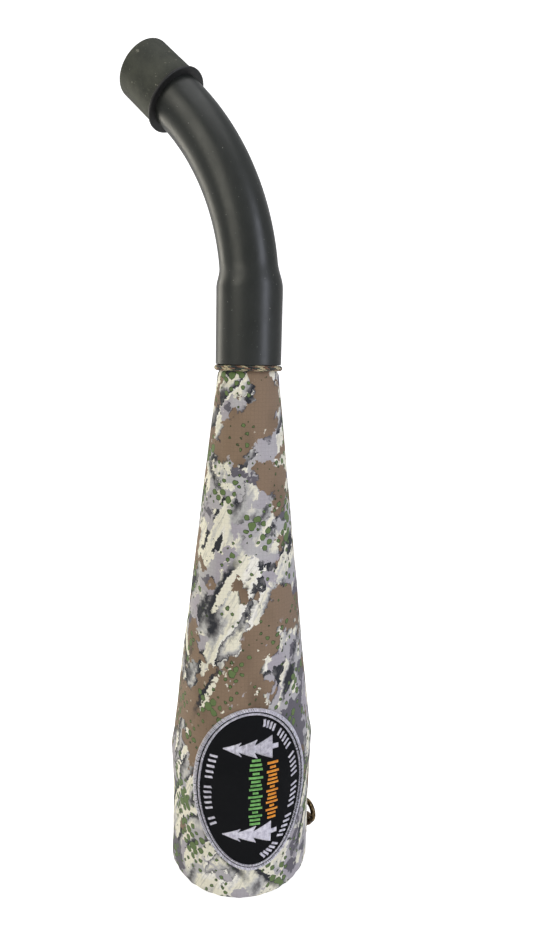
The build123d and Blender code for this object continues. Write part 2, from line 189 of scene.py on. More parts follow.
class Soup:
    """Points and faces of many small tubes, gathered into one mesh."""

    def __init__(self):
        self.points = []
        self.faces = []
        self.slots = []
        self.count = 0

    def tube(self, path, radius, sides=6, slot=0, flat=1.0, normal=None, closed=False):
        """A tube along a path; flat squeezes it along normal, and its ends are capped."""
        path = np.asarray(path, float)
        radius = np.broadcast_to(np.asarray(radius, float), (len(path),))
        tangents, first, second = path_frames(path, closed)
        if normal is not None:
            second = np.broadcast_to(np.asarray(normal, float), path.shape)
            second = unit(second - tangents * np.sum(second * tangents, axis=1)[:, None])
            first = np.cross(second, tangents)
        turn = np.arange(sides)[:, None] * 2 * np.pi / sides
        ring = first[:, None] * np.cos(turn) + second[:, None] * np.sin(turn) * flat
        faces = grid_faces(len(path), sides, wrap_rows=closed, first=self.count)
        if not closed:
            faces += cap_faces(len(path), sides, self.count)
        self.points.append((path[:, None] + ring * radius[:, None, None]).reshape(-1, 3))
        self.faces += faces
        self.slots += [slot] * len(faces)
        self.count += len(path) * sides

    def build(self, name, node, *materials):
        make_piece(name, node, np.vstack(self.points), self.faces, materials, slots=self.slots)


def rounded(corners, radius, steps=5):
    """A closed outline with each of its corners rounded."""
    corners = np.array(corners, float)
    t = np.linspace(0, 1, steps)[:, None]
    line = []
    for before, corner, after in zip(np.roll(corners, 1, axis=0), corners, np.roll(corners, -1, axis=0)):
        reach = min(radius, *(0.45 * np.linalg.norm(each - corner) for each in (before, after)))
        start = corner + unit(before - corner) * reach
        end = corner + unit(after - corner) * reach
        line.append((1 - t) ** 2 * start + 2 * t * (1 - t) * corner + t * t * end)
    return np.vstack(line)


# ---- Materials ----


class Material:
    """Shorthand for building a material's nodes."""

    def __init__(self, name, roughness=0.6):
        self.material = bpy.data.materials.new(name)
        self.material.use_nodes = True
        self.nodes = self.material.node_tree.nodes
        self.links = self.material.node_tree.links
        self.shader = self.nodes["Principled BSDF"]
        self.shader.inputs["Roughness"].default_value = roughness
        self.place = self.nodes.new("ShaderNodeTexCoord").outputs["Object"]

    def plug(self, socket, value):
        if isinstance(value, bpy.types.NodeSocket):
            self.links.new(value, socket)
        elif value is not None:
            if isinstance(value, tuple) and len(value) == 3 and socket.type == "RGBA":
                value = (*value, 1.0)
            socket.default_value = value

    def set(self, name, value):
        self.plug(self.shader.inputs[name], value)

    def math(self, operation, a, b=None, c=None, clamp=False):
        node = self.nodes.new("ShaderNodeMath")
        node.operation = operation
        node.use_clamp = clamp
        for socket, value in zip(node.inputs, (a, b, c)):
            self.plug(socket, value)
        return node.outputs[0]

    def times(self, a, b):
        return self.math("MULTIPLY", a, b)

    def linear(self, value, gain, start, clamp=False):
        """The value times a gain, added to a start."""
        return self.math("MULTIPLY_ADD", value, gain, start, clamp)

    def scaled(self, vector, scale, location=(0, 0, 0), turn=0.0, rotation=None):
        """The vector turned about its z axis (or by a full rotation), then scaled and moved."""
        if turn or rotation:
            node = self.nodes.new("ShaderNodeMapping")
            node.inputs["Rotation"].default_value = rotation or (0, 0, turn)
            self.links.new(vector, node.inputs["Vector"])
            vector = node.outputs[0]
        node = self.nodes.new("ShaderNodeMapping")
        node.inputs["Scale"].default_value = scale
        node.inputs["Location"].default_value = location
        self.links.new(vector, node.inputs["Vector"])
        return node.outputs[0]

    def noise(self, vector, scale, detail=3.0, roughness=0.5, colour=False):
        node = self.nodes.new("ShaderNodeTexNoise")
        values = {"Vector": vector, "Scale": scale, "Detail": detail, "Roughness": roughness}
        for name, value in values.items():
            self.plug(node.inputs[name], value)
        return node.outputs["Color" if colour else "Fac"]

    def cells(self, vector, scale, randomness=1.0):
        """Distance to the nearest cell's middle, the cell's three random numbers and its place."""
        node = self.nodes.new("ShaderNodeTexVoronoi")
        for name, value in {"Vector": vector, "Scale": scale, "Randomness": randomness}.items():
            self.plug(node.inputs[name], value)
        return node.outputs["Distance"], self.split(node.outputs["Color"]), node.outputs["Position"]

    def ramp(self, value, stops):
        node = self.nodes.new("ShaderNodeValToRGB")
        elements = node.color_ramp.elements
        while len(elements) < len(stops):
            elements.new(0.5)
        for element, (position, colour) in zip(elements, stops):
            element.position = position
            if not isinstance(colour, tuple):
                colour = (colour, colour, colour)
            element.color = (*colour, 1.0)
        self.links.new(value, node.inputs["Fac"])
        return node.outputs["Color"]

    def mix(self, factor, a, b, blend="MIX"):
        node = self.nodes.new("ShaderNodeMix")
        node.data_type = "RGBA"
        node.blend_type = blend
        self.plug(node.inputs["Factor"], factor)
        self.plug(node.inputs["A"], a)
        self.plug(node.inputs["B"], b)
        return node.outputs["Result"]

    def shift(self, vector, noise, amount):
        """The vector moved by a colour noise about its middle."""
        centred = self.nodes.new("ShaderNodeVectorMath")
        centred.operation = "SUBTRACT"
        self.links.new(noise, centred.inputs[0])
        centred.inputs[1].default_value = (0.5, 0.5, 0.5)
        moved = self.nodes.new("ShaderNodeVectorMath")
        moved.operation = "MULTIPLY_ADD"
        self.links.new(centred.outputs[0], moved.inputs[0])
        moved.inputs[1].default_value = (amount, amount, amount)
        self.links.new(vector, moved.inputs[2])
        return moved.outputs[0]

    def split(self, vector):
        node = self.nodes.new("ShaderNodeSeparateXYZ")
        self.links.new(vector, node.inputs[0])
        return node.outputs

    def bump(self, height, distance, strength):
        node = self.nodes.new("ShaderNodeBump")
        node.inputs["Distance"].default_value = distance
        node.inputs["Strength"].default_value = strength
        self.links.new(height, node.inputs["Height"])
        return node.outputs[0]

    def above(self, value, edge, softness=0.004):
        """A crisp mask: 1 where the value is above an edge."""
        node = self.nodes.new("ShaderNodeMapRange")
        node.interpolation_type = "SMOOTHSTEP"
        self.plug(node.inputs["Value"], value)
        node.inputs["From Min"].default_value = edge - softness
        node.inputs["From Max"].default_value = edge + softness
        return node.outputs[0]


CREAM = (0.90, 0.86, 0.71)
PALE = (0.96, 0.93, 0.86)
STONE = (0.54, 0.53, 0.52)
SMOKE = (0.15, 0.145, 0.15)
LAVENDER = (0.42, 0.385, 0.43)
SLATE = (0.125, 0.115, 0.14)
CHARCOAL = (0.010, 0.012, 0.020)
BARK = (0.255, 0.172, 0.110)
BARK_DARK = (0.165, 0.108, 0.066)
LEAF = (0.125, 0.195, 0.060)
LEAF_EDGE = (0.030, 0.050, 0.015)

# Where the print is mostly one colour: middle across and up the cloth, reach both ways, weight; all
# in millimetres from the front's middle and from the rim
BROWN_FIELDS = (
    (2, 314, 30, 20, 0.11), (-16, 338, 10, 14, -0.10), (16, 336, 12, 8, 0.06),
    (20, 262, 14, 10, 0.12), (16, 190, 18, 24, 0.17), (-30, 136, 22, 26, 0.17),
    (6, 142, 14, 20, 0.12), (-12, 252, 30, 20, -0.14), (-12, 200, 24, 28, -0.14),
    (48, 128, 24, 40, -0.10), (-30, 24, 44, 30, -0.18), (20, 10, 40, 18, -0.14),
)
GREEN_FIELDS = (
    (-52, 66, 14, 20, 0.11), (-30, 22, 14, 20, 0.08), (-6, 262, 16, 14, 0.07),
    (34, 248, 6, 22, 0.12), (-14, 345, 7, 10, 0.10), (-12, 200, 26, 30, -0.10),
    (6, 318, 20, 26, -0.07), (30, 18, 12, 8, 0.08),
)
DARK_FIELDS = (
    (-34, 200, 12, 34, 0.60), (30, 205, 9, 26, 0.60), (30, 150, 9, 26, 0.45),
    (-56, 30, 20, 18, 0.30), (-28, 268, 8, 22, 0.35), (4, 180, 20, 30, -0.25),
    (0, 14, 40, 12, -0.25),
)
LAVENDER_FIELDS = (
    (50, 125, 20, 60, 0.12), (10, 300, 11, 14, 0.17), (10, 276, 16, 14, 0.12),
    (-60, 14, 14, 20, 0.11), (60, 20, 20, 30, 0.08), (-10, 190, 20, 30, -0.08),
)


def leaning(m, x, y, start, fields):
    """A field that starts from a noise and is pushed up or down round a few spots of the cloth."""
    total = start
    for across, up, reach_x, reach_y, weight in fields:
        dx = m.times(m.math("SUBTRACT", x, across), 1 / reach_x)
        dy = m.times(m.math("SUBTRACT", y, up), 1 / reach_y)
        square = m.linear(dx, dx, m.times(dy, dy))
        fall = m.math("EXPONENT", m.times(square, -0.7))
        total = m.linear(fall, weight, total)
    return total


def weave_height(m, x, y):
    """Height of a fine plain weave with a thicker ripstop thread every few millimetres."""
    warp = m.math("SINE", m.times(x, 2 * math.pi / 0.42))
    weft = m.math("SINE", m.times(y, 2 * math.pi / 0.5))
    ribs = []
    for axis in (x, y):
        wave = m.math("ABSOLUTE", m.math("COSINE", m.times(axis, math.pi / 2.6)))
        ribs.append(m.math("POWER", wave, 30.0))
    ribs = m.math("MAXIMUM", *ribs)
    height = m.linear(m.times(warp, weft), 0.5, m.times(ribs, 0.8))
    return height, warp, ribs


def camo_material():
    """Printed camouflage on ripstop; its coordinates are millimetres across and up the cloth."""
    m = Material("camo_ripstop", 0.82)
    cloth = m.nodes.new("ShaderNodeUVMap")
    cloth.uv_map = "cloth"
    cloth = cloth.outputs[0]
    x, y, _ = m.split(cloth)
    torn = m.shift(cloth, m.noise(cloth, 0.30, 4, 0.62, colour=True), 6.5)
    tilt = math.radians(28)

    # Painted bark: brightens slowly along the grain, then drops away at a sharp edge
    along = m.scaled(torn, (1.0, 0.30, 1), turn=tilt)
    grain = m.noise(along, 0.047, 2.0, 0.45)
    saw = m.math("FRACT", m.linear(grain, 5.0, 0.30))
    gloom = leaning(m, x, y, 0.0, DARK_FIELDS)
    saw = m.math("SUBTRACT", saw, m.times(gloom, 0.8), clamp=True)
    places = (0.0, 0.07, 0.19, 0.36, 0.56, 0.80, 1.0)
    base = m.ramp(saw, list(zip(places, (CHARCOAL, CHARCOAL, SMOKE, STONE, CREAM, CREAM, PALE))))
    bristle = m.noise(m.scaled(cloth, (1.0, 0.10, 1), turn=tilt), 0.75, 2, 0.5)
    base = m.mix(m.times(m.above(bristle, 0.60, 0.05), 0.28), base, SMOKE)

    # Lavender and slate shapes, with the straight torn edges of paper
    shards = m.cells(torn, 0.16)[2]
    torn_flat = m.mix(0.72, torn, shards)
    flat = m.noise(m.scaled(torn_flat, (1, 0.75, 1), (31, 7, 0)), 0.046, 2.5, 0.5)
    flat = leaning(m, x, y, flat, LAVENDER_FIELDS)
    shade = m.noise(m.scaled(cloth, (1, 0.5, 1), (3, 44, 0)), 0.05, 1.0, 0.5)
    lavender = m.mix(m.linear(shade, 3.0, -1.1, clamp=True), LAVENDER, STONE)
    base = m.mix(m.above(flat, 0.545), base, lavender)
    base = m.mix(m.above(flat, 0.630), base, SLATE)

    # Brown shapes
    brown = m.noise(m.scaled(torn_flat, (1, 0.80, 1), (5, 61, 0)), 0.040, 2.5, 0.5)
    brown = leaning(m, x, y, brown, BROWN_FIELDS)
    bark = m.mix(m.linear(shade, 4.0, -1.9, clamp=True), BARK, BARK_DARK)
    base = m.mix(m.above(brown, 0.528, 0.010), base, CHARCOAL)
    base = m.mix(m.above(brown, 0.536), base, bark)

    # Long pale splinters, each with a black shadow on one side
    shadow_and_face = ((2.6, 0.30, 0.12, CHARCOAL), (0.0, 0.235, 0.012, CREAM))
    for lean, place, rarity in ((28, 0.0, 0.70), (-38, 9.0, 0.86)):
        for offset, threshold, softness, colour in shadow_and_face:
            shard = m.scaled(torn, (1.0, 0.16, 1), (offset + place, place, 0), turn=math.radians(lean))
            reach, chosen, _ = m.cells(shard, 0.082)
            mask = m.math("SUBTRACT", 1.0, m.above(reach, threshold, softness))
            base = m.mix(m.times(mask, m.above(chosen[0], rarity)), base, colour)

    # Pale flakes scattered in loose drifts
    flake = m.scaled(torn, (1, 0.62, 1), turn=0.5)
    reach, chosen, _ = m.cells(flake, 0.30)
    drift = m.above(m.noise(m.scaled(cloth, (1, 1, 1), (70, 9, 0)), 0.040, 2, 0.5), 0.50, 0.05)
    size = m.linear(chosen[1], 0.30, 0.06)
    mask = m.math("LESS_THAN", reach, size)
    mask = m.times(m.times(mask, m.above(chosen[0], 0.68)), drift)
    base = m.mix(mask, base, m.mix(chosen[2], CREAM, LAVENDER))

    # Green dots on a staggered grid, their size set by a slow field, merging where it is high
    field = m.noise(m.scaled(cloth, (1, 0.8, 1), (12, 27, 0)), 0.050, 3, 0.6)
    field = leaning(m, x, y, field, GREEN_FIELDS)
    wobbly = m.shift(cloth, m.noise(cloth, 0.55, 2, 0.5, colour=True), 1.6)
    grid = m.scaled(wobbly, (1, 1, 1), turn=math.radians(45))
    dots, lottery, _ = m.cells(grid, 1 / 5.6, 0.30)
    reach = m.linear(field, 2.1, -1.03)
    reach = m.linear(lottery[0], 0.20, reach)
    inside = m.math("SUBTRACT", m.math("MINIMUM", reach, 0.62), dots)
    base = m.mix(m.above(inside, -0.045, 0.018), base, LEAF_EDGE)
    base = m.mix(m.above(inside, 0.020, 0.018), base, LEAF)

    # Print, weave and wear
    height, warp, ribs = weave_height(m, x, y)
    faded = m.noise(cloth, 0.9, 3, 0.6)
    base = m.mix(0.14, base, m.ramp(faded, [(0.3, 0.25), (0.7, 0.75)]), "OVERLAY")
    base = m.mix(m.linear(warp, 0.05, 0.05), base, (0.02, 0.02, 0.02))
    base = m.mix(m.times(ribs, 0.10), base, (0.03, 0.025, 0.02))
    m.set("Base Color", base)
    m.set("Roughness", m.linear(faded, 0.12, 0.74))
    m.set("Sheen Weight", 0.08)
    m.set("Sheen Roughness", 0.5)
    m.set("Normal", m.bump(height, 0.00012, 0.55))
    return m.material


def fibre_material(name, shade, colour, stops, tone, fibres, roughness, bump, matting=0.0, sheen=0.2):
    """Thread, tape or elastic: its colour drifts with one noise, and its fibres stand up in another.
    Each noise is its stretch along the axes, scale, detail and roughness."""
    m = Material(name)
    place = m.place
    tone, fibres = (m.noise(m.scaled(place, stretch), *rest) for stretch, *rest in (tone, fibres))
    m.set("Base Color", m.ramp(tone, list(zip(stops, (shade, colour)))))
    m.set("Roughness", m.linear(fibres, matting, roughness))
    m.set("Sheen Weight", sheen)
    m.set("Normal", m.bump(fibres, *bump))
    return m.material


def thread_material(name, shade, colour, roughness=0.32):
    """Satin embroidery thread."""
    tone = ((1, 1, 1), 420.0, 3, 0.6)
    fibres = ((1, 1, 6), 2600.0, 2, 0.5)
    return fibre_material(
        name, shade, colour, (0.32, 0.62), tone, fibres, roughness, (0.00005, 0.5), 0.3, 0.25
    )


def twill_material():
    """Black twill ground of the patch, with fine diagonal ribs; coordinates in millimetres."""
    m = Material("patch_twill", 0.9)
    cloth = m.nodes.new("ShaderNodeUVMap")
    cloth.uv_map = "cloth"
    x, y, _ = m.split(cloth.outputs[0])
    diagonal = m.times(m.math("ADD", x, m.times(y, 1.3)), 2 * math.pi / 0.85)
    ribs = m.math("SINE", diagonal)
    lint = m.noise(cloth.outputs[0], 2.1, 4, 0.65)
    colour = m.ramp(lint, [(0.35, (0.003, 0.0035, 0.0045)), (0.72, (0.009, 0.0095, 0.011))])
    colour = m.mix(m.above(m.noise(cloth.outputs[0], 3.4, 1, 0.4), 0.77, 0.01), colour, (0.05, 0.05, 0.06))
    m.set("Base Color", m.mix(m.linear(ribs, 0.12, 0.12), colour, (0.014, 0.0145, 0.017)))
    m.set("Specular IOR Level", 0.12)
    m.set("Normal", m.bump(m.math("ADD", ribs, m.times(lint, 0.8)), 0.00014, 0.7))
    return m.material


def neck_material():
    """Satin black tube: faint moulding flow, rubbed areas, hair scratches and dust specks."""
    m = Material("neck_satin_black", 0.36)
    place = m.place
    flow = m.noise(m.scaled(place, (1, 1, 0.25)), 38.0, 4, 0.55)
    rubbed = m.noise(place, 75.0, 5, 0.65)
    colour = m.ramp(flow, [(0.3, (0.0115, 0.0135, 0.0115)), (0.7, (0.020, 0.0225, 0.020))])
    scratch_space = m.scaled(place, (1.0, 1.0, 0.05), rotation=(0.5, 0.25, 0.1))
    scratches = m.above(m.noise(scratch_space, 900.0, 2, 0.5), 0.71, 0.02)
    patches = m.above(m.noise(place, 48.0, 2, 0.5), 0.53, 0.06)
    scratches = m.times(scratches, patches)
    specks = m.above(m.noise(place, 620.0, 1, 0.4), 0.775, 0.012)
    colour = m.mix(m.times(scratches, 0.35), colour, (0.10, 0.105, 0.10))
    colour = m.mix(m.times(specks, 0.7), colour, (0.22, 0.22, 0.20))
    m.set("Base Color", colour)
    rough = m.ramp(rubbed, [(0.3, 0.30), (0.7, 0.44)])
    m.set("Roughness", m.mix(m.times(scratches, 0.6), rough, (0.6, 0.6, 0.6)))
    m.set("Specular IOR Level", 0.5)
    ripple = m.linear(scratches, -0.05, flow)
    m.set("Normal", m.bump(ripple, 0.0006, 0.25))
    return m.material


def rubber_material(name, dark, dusty, roughness, dust):
    """Matt rubber with a fine pebbled skin and pale dust lodged in it."""
    m = Material(name, roughness)
    place = m.place
    cloud = m.noise(place, 85.0, 4, 0.6)
    colour = m.ramp(cloud, [(0.32, dark), (0.72, dusty)])
    grains = m.above(m.noise(place, 900.0, 2, 0.5), 0.70, 0.02)
    coarse = m.above(m.noise(place, 380.0, 1, 0.4), 0.735, 0.015)
    where = m.above(m.noise(place, 60.0, 2, 0.5), 0.47, 0.12)
    specks = m.times(m.math("MAXIMUM", grains, coarse), where)
    colour = m.mix(m.times(specks, dust), colour, (0.30, 0.29, 0.23))
    m.set("Base Color", colour)
    pebble = m.noise(place, 1500.0, 3, 0.6)
    m.set("Roughness", m.ramp(pebble, [(0.2, roughness - 0.1), (0.8, roughness + 0.08)]))
    m.set("Normal", m.bump(m.math("ADD", pebble, m.times(cloud, 1.5)), 0.00012, 0.5))
    return m.material


def moulded_material():
    """The bell's moulded plastic, seen inside its mouth: dull black with flow marks and dust."""
    m = Material("bell_black_plastic", 0.55)
    place = m.place
    rings = m.noise(m.scaled(place, (1, 1, 9)), 30.0, 3, 0.5)
    dust = m.noise(place, 240.0, 5, 0.7)
    m.set("Base Color", m.ramp(rings, [(0.35, (0.012, 0.012, 0.013)), (0.7, (0.026, 0.026, 0.027))]))
    m.set("Roughness", m.ramp(dust, [(0.3, 0.42), (0.75, 0.66)]))
    m.set("Normal", m.bump(m.math("ADD", rings, m.times(dust, 0.3)), 0.0003, 0.3))
    return m.material


def brass_material():
    """Tarnished brass ring: bright on its crown, brown in its hollows."""
    m = Material("ring_antique_brass", 0.24)
    place = m.place
    tarnish = m.noise(place, 260.0, 5, 0.65)
    scratch = m.noise(m.scaled(place, (1, 1, 0.12)), 1700.0, 2, 0.5)
    stops = [(0.40, (0.045, 0.030, 0.018)), (0.52, (0.16, 0.115, 0.06)), (0.66, (0.62, 0.46, 0.24))]
    m.set("Base Color", m.ramp(tarnish, stops))
    m.set("Metallic", 1.0)
    m.set("Roughness", m.linear(tarnish, -0.35, 0.36))
    m.set("Normal", m.bump(scratch, 0.00006, 0.35))
    return m.material


def yarn_material(name, shade, colour):
    """One yarn of the braided cord."""
    tone = ((1, 1, 1), 700.0, 3, 0.6)
    fibres = ((5, 5, 1), 1800.0, 2, 0.5)
    return fibre_material(name, shade, colour, (0.3, 0.65), tone, fibres, 0.7, (0.0001, 0.6))


def webbing_material():
    """Brown woven tape of the ring's tab."""
    colours = (0.10, 0.058, 0.024), (0.23, 0.14, 0.06)
    tone = ((1, 1, 1), 500.0, 4, 0.6)
    fibres = ((1, 1, 1), 2600.0, 2, 0.5)
    return fibre_material("tab_webbing", *colours, (0.3, 0.7), tone, fibres, 0.8, (0.0001, 0.6))


def elastic_material():
    """Covered elastic in the rim's hem, ribbed across."""
    colours = (0.015, 0.015, 0.016), (0.05, 0.05, 0.05)
    ribs = ((1, 1, 0.3), 1600.0, 2, 0.5)
    bump = (0.0001, 0.6)
    return fibre_material("rim_elastic_black", *colours, (0.35, 0.7), ribs, ribs, 0.8, bump, sheen=0)


CAMO = camo_material()
TWILL = twill_material()
PALE_THREAD = thread_material("thread_pale", (0.50, 0.48, 0.58), (0.86, 0.84, 0.93))
GREEN_THREAD = thread_material("thread_green", (0.11, 0.33, 0.07), (0.24, 0.60, 0.16))
ORANGE_THREAD = thread_material("thread_orange", (0.72, 0.22, 0.01), (1.0, 0.42, 0.02))
DARK_THREAD = thread_material("thread_dark", (0.03, 0.028, 0.025), (0.075, 0.07, 0.06), 0.45)
BRASS = brass_material()
WEBBING = webbing_material()
CUFF_RUBBER = rubber_material("cuff_rubber", (0.022, 0.025, 0.018), (0.055, 0.058, 0.042), 0.72, 0.5)
# The collar is the cuff's own rubber, painted near black: painted shade for its face that turns down.
COLLAR_RUBBER_PAINTED_SHADE = rubber_material("collar_rubber", (0.005, 0.005, 0.005), (0.010, 0.010, 0.009), 0.5, 0.12)
SLEEVE_RUBBER = rubber_material("sleeve_rubber", (0.012, 0.012, 0.012), (0.03, 0.03, 0.03), 0.65, 0.1)
MELTED_TIP = rubber_material("cord_tip_melted", (0.02, 0.018, 0.015), (0.05, 0.04, 0.03), 0.45, 0.1)
YARNS = [
    yarn_material("yarn_cream", (0.40, 0.33, 0.19), (0.62, 0.53, 0.33)),
    yarn_material("yarn_brown", (0.13, 0.06, 0.03), (0.25, 0.12, 0.065)),
    yarn_material("yarn_green", (0.015, 0.03, 0.022), (0.035, 0.07, 0.05)),
    yarn_material("yarn_black", (0.006, 0.006, 0.007), (0.015, 0.015, 0.016)),
]


# ---- Cover ----

SIDES = 288
SIDE_ROWS = 300
RIM_Z = 0.008  # the side ends here and the roll under the rim begins
FLAT_R = 0.038  # that roll ends at this radius and the flat ring begins
LIP_R = 0.0011  # radius of the lip where the cloth turns up into the mouth
CLOTH_THICKNESS = 0.0009
RIDGE_TILT = 0.0045
RIDGE_REACH = 0.045
SLACK_GAIN = 0.22
SLACK_RANGE = (-0.0002, 0.0006)
SLACK_CLOTH = {
    "quality": 6,
    "mass": 0.15,
    "tension_stiffness": 12,
    "compression_stiffness": 12,
    "shear_stiffness": 6,
    "bending_stiffness": 0.4,
    "shrink_min": -0.010,
}


def smooth(t):
    t = np.clip(t, 0, 1)
    return t * t * (3 - 2 * t)


def cover_face(angle, z):
    """Radius of the cover's outer face; its shoulder ridge sits a little higher on the right."""
    ridge_z = PROFILE_Z[np.argmax(PROFILE_R)]
    near = 1 - smooth(np.abs(z - ridge_z) / RIDGE_REACH)
    return cover_radius(z - RIDGE_TILT * np.sin(np.radians(angle)) * near)


def calm(angle, z):
    """0 where the patch, the tab and the seam hold the cloth flat, 1 in the open."""
    patch_z = (PATCH_LOW.z + PATCH_HIGH.z) / 2
    turn = math.degrees(math.atan2(PATCH_LOW.x + PATCH_HIGH.x, -PATCH_LOW.y - PATCH_HIGH.y))
    across = (angle - turn) / 62.0
    up = (z - patch_z) / ((PATCH_HIGH.z - PATCH_LOW.z) / 2 + 0.006)
    patch = smooth((np.hypot(across, up) - 1) / 0.25)
    tab_low, tab_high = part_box("ring_tab")
    tab = smooth((np.hypot((angle - 98) / 14.0, (z - (tab_low.z + tab_high.z) / 2) / 0.014) - 1) / 0.5)
    seam = smooth((180 - np.abs(angle)) / 6.0 - 0.9)
    return patch * tab * seam


def cover_sheet(columns, rows):
    """Angles and heights of the cover's side as a grid, from just above the rim to the cord."""
    angle = np.linspace(-180, 180, columns, endpoint=False)
    return np.meshgrid(angle, np.linspace(RIM_Z, COVER_HIGH.z, rows))


def simulate_slack(columns=120, rows=100, steps=12):
    """Cloth simulation of the cover's side, cut a little large, that gives its slack as an outward
    shift in metres over the sheet. Its top is held by the cord and its foot by the elastic."""
    angle, z = cover_sheet(columns, rows)
    base = cover_face(angle, z)
    seedling = np.random.default_rng(11).normal(0, 0.00006, base.shape)
    points = around(angle, base + seedling, z).reshape(-1, 3)
    mesh = bpy.data.meshes.new("slack")
    mesh.from_pydata([tuple(p) for p in points], [], grid_faces(rows, columns))
    sheet = link("slack", mesh)
    held = sheet.vertex_groups.new(name="held")
    held.add([*range(columns * 2), *range(columns * (rows - 3), columns * rows)], 1.0, "REPLACE")
    modifier = sheet.modifiers.new("Cloth", "CLOTH")
    settings = modifier.settings
    for name, value in SLACK_CLOTH.items():
        setattr(settings, name, value)
    settings.vertex_group_mass = "held"
    settings.effector_weights.gravity = 0.0
    modifier.collision_settings.use_collision = False
    modifier.collision_settings.use_self_collision = False
    modifier.point_cache.frame_start = 1
    modifier.point_cache.frame_end = steps
    for step in range(1, steps + 1):
        bpy.context.scene.frame_set(step)
    result = np.zeros(len(points) * 3)
    evaluated = sheet.evaluated_get(bpy.context.evaluated_depsgraph_get())
    evaluated.data.vertices.foreach_get("co", result)
    result = result.reshape(rows, columns, 3)
    bpy.context.scene.frame_set(1)
    bpy.data.objects.remove(sheet)
    shift = np.hypot(result[..., 0], result[..., 1]) - base
    shift -= shift.mean(axis=1, keepdims=True)
    for _ in range(3):
        shift = 0.5 * shift + 0.25 * (np.roll(shift, 1, axis=1) + np.roll(shift, -1, axis=1))
        inner = 0.5 * shift[1:-1] + 0.25 * (shift[:-2] + shift[2:])
        shift = np.vstack([shift[:1], inner, shift[-1:]])
    return np.clip(SLACK_GAIN * shift, *SLACK_RANGE)


def sample(grid, angle, t):
    """Smooth look-up in a grid that wraps round in angle; t runs 0 to 1 up its rows."""
    rows, columns = grid.shape
    u = (angle + 180) / 360 * columns
    v = np.clip(t, 0, 1) * (rows - 1)
    u0 = np.floor(u).astype(int)
    v0 = np.clip(np.floor(v).astype(int), 0, rows - 2)
    fu = smooth(u - u0)
    fv = smooth(v - v0)
    low, high = (
        grid[row, u0 % columns] * (1 - fu) + grid[row, (u0 + 1) % columns] * fu for row in (v0, v0 + 1)
    )
    return low * (1 - fv) + high * fv


def gathers(angle, z):
    """Small pleats where the cord draws the cloth in, and where the elastic gathers the rim."""
    a = np.radians(angle)
    top = smooth(1 - (COVER_HIGH.z - z) / 0.022) * (z < COVER_HIGH.z - 0.004)
    pleats = np.sin(19 * a + 1.4 * np.sin(3 * a)) + 0.5 * np.sin(31 * a + 0.7)
    rim = smooth(1 - z / 0.016)
    folds = np.sin(23 * a + 1.1 * np.sin(2 * a + 1)) + 0.6 * np.sin(41 * a)
    return 0.00018 * top * pleats + 0.00016 * rim * folds


def rim_kink(angle, z):
    """One soft fold in the cloth, low on the left."""
    across = np.exp(-(((angle + 74) / 9.0) ** 2))
    up = np.exp(-(((z - 0.012) / 0.008) ** 2))
    return 0.0010 * across * up


def build_cover():
    """The fabric cover: its side from the cloth simulation, its rim and its turned-in hem."""
    angle, z = cover_sheet(SIDES, SIDE_ROWS)
    radius = cover_face(angle, z)
    share = (z - RIM_Z) / (COVER_HIGH.z - RIM_Z)
    radius = radius + sample(simulate_slack(), angle, share) * calm(angle, z)
    radius = radius + gathers(angle, z) + rim_kink(angle, z)

    # From the side the cloth rolls under the rim, runs flat, turns up into the mouth and ends at the hem
    mouth_r = radii_near("camo_cover", np.zeros(3), UP, 0.004, 0.0095)[0]
    hem_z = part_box("rim_hem")[0].z
    turn = angle[0]
    roll = radius[0] - FLAT_R + gathers(turn, 0.004)
    pucker = 0.00016 * np.sin(29 * np.radians(turn))
    rings = [
        around(turn, FLAT_R + roll * math.cos(t), RIM_Z * (1 - math.sin(t)))
        for t in np.linspace(0, math.pi / 2, 18)[1:]
    ]
    rings += [around(turn, FLAT_R + (mouth_r + LIP_R - FLAT_R) * t, 0.0) for t in np.linspace(0, 1, 4)[1:]]
    rings += [
        around(turn, mouth_r + LIP_R * (1 - math.sin(t)), LIP_R * (1 - math.cos(t)))
        for t in np.linspace(0, math.pi / 2, 6)[1:]
    ]
    rings += [
        around(turn, mouth_r + pucker * t, LIP_R + (hem_z - LIP_R) * t) for t in np.linspace(0, 1, 6)[1:]
    ]
    grid = np.concatenate([around(angle, radius, z)[::-1], rings])

    steps = np.linalg.norm(np.diff(grid[:, SIDES // 2], axis=0), axis=1)
    along = np.append(0, np.cumsum(steps))
    along = along[SIDE_ROWS - 1] - along
    # The UV seam needs its own column, so that the print doesn't run backwards across one face
    grid = np.concatenate([grid, grid[:, :1]], axis=1)
    girth = np.hypot(grid[..., 0], grid[..., 1])
    across = np.radians(np.append(turn, 180.0)) * girth
    uv = np.stack([across, np.broadcast_to(along[:, None], girth.shape)], axis=-1)
    faces = grid_faces(len(grid), SIDES + 1, wrap_columns=False)
    points = grid.reshape(-1, 3)
    cover = make_piece("cover_fabric", "camo_cover", points, faces, [CAMO], uv.reshape(-1, 2) / MM)
    weld(cover, 1e-7)
    thicken(cover, CLOTH_THICKNESS)


def thicken(piece, thickness):
    """Give a sheet a thickness, inwards from its face."""
    solidify = piece.modifiers.new("Thickness", "SOLIDIFY")
    solidify.thickness = thickness
    solidify.offset = -1


def weld(piece, distance):
    """Merge coincident points; UVs live on the corners, so a print seam survives."""
    bm = bmesh.new()
    bm.from_mesh(piece.data)
    bmesh.ops.remove_doubles(bm, verts=bm.verts, dist=distance)
    bmesh.ops.recalc_face_normals(bm, faces=bm.faces)
    bm.to_mesh(piece.data)
    bm.free()
    piece.data.shade_smooth()


# ---- Cord ----

FLOAT_PITCH = 0.0031
FLOAT_ROWS = 10
FLOAT_SLANT = 0.16
YARN_DRIFTS = (-0.30, 0.35, 0.80)
YARN_CORE = 3


